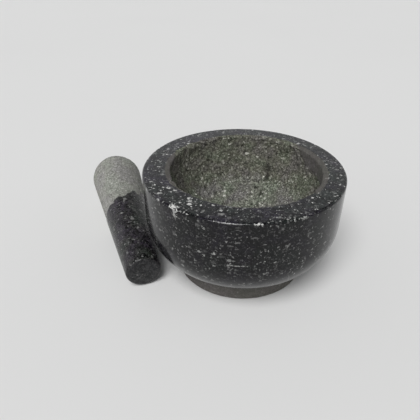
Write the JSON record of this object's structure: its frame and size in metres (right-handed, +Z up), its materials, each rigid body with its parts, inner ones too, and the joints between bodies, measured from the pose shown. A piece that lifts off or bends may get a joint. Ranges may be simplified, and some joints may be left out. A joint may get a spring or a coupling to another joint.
{
  "type": "stone mortar and pestle",
  "caption": "Polished speckled stone grinding bowl on a short plain foot, with a loose tapered stone pestle lying beside it.",
  "frame": {"origin": "on the floor under the middle of the mortar's foot", "axes": "+Z up along the bowl's axis, +X to the right and +Y away from someone who has the pestle on their left with its round head pointing away"},
  "size_m": [0.2027, 0.1796, 0.08],
  "materials": {
    "mortar_stone": "dark speckled granite, polished outside and on the rim, rough in the hollow and on the foot",
    "pestle_stone": "dark speckled granite, polished handle and a rough pale grey grinding head"
  },
  "bodies": {
    "mortar": {"mortar": "mortar_stone"},
    "pestle": {"pestle": "pestle_stone"}
  },
  "joints": [
    {"name": "pestle_lift", "type": "slide", "parent": "mortar", "child": "pestle", "axis": [-0.342, 0, 0.9397], "range_m": [0, 0.13]}
  ]
}
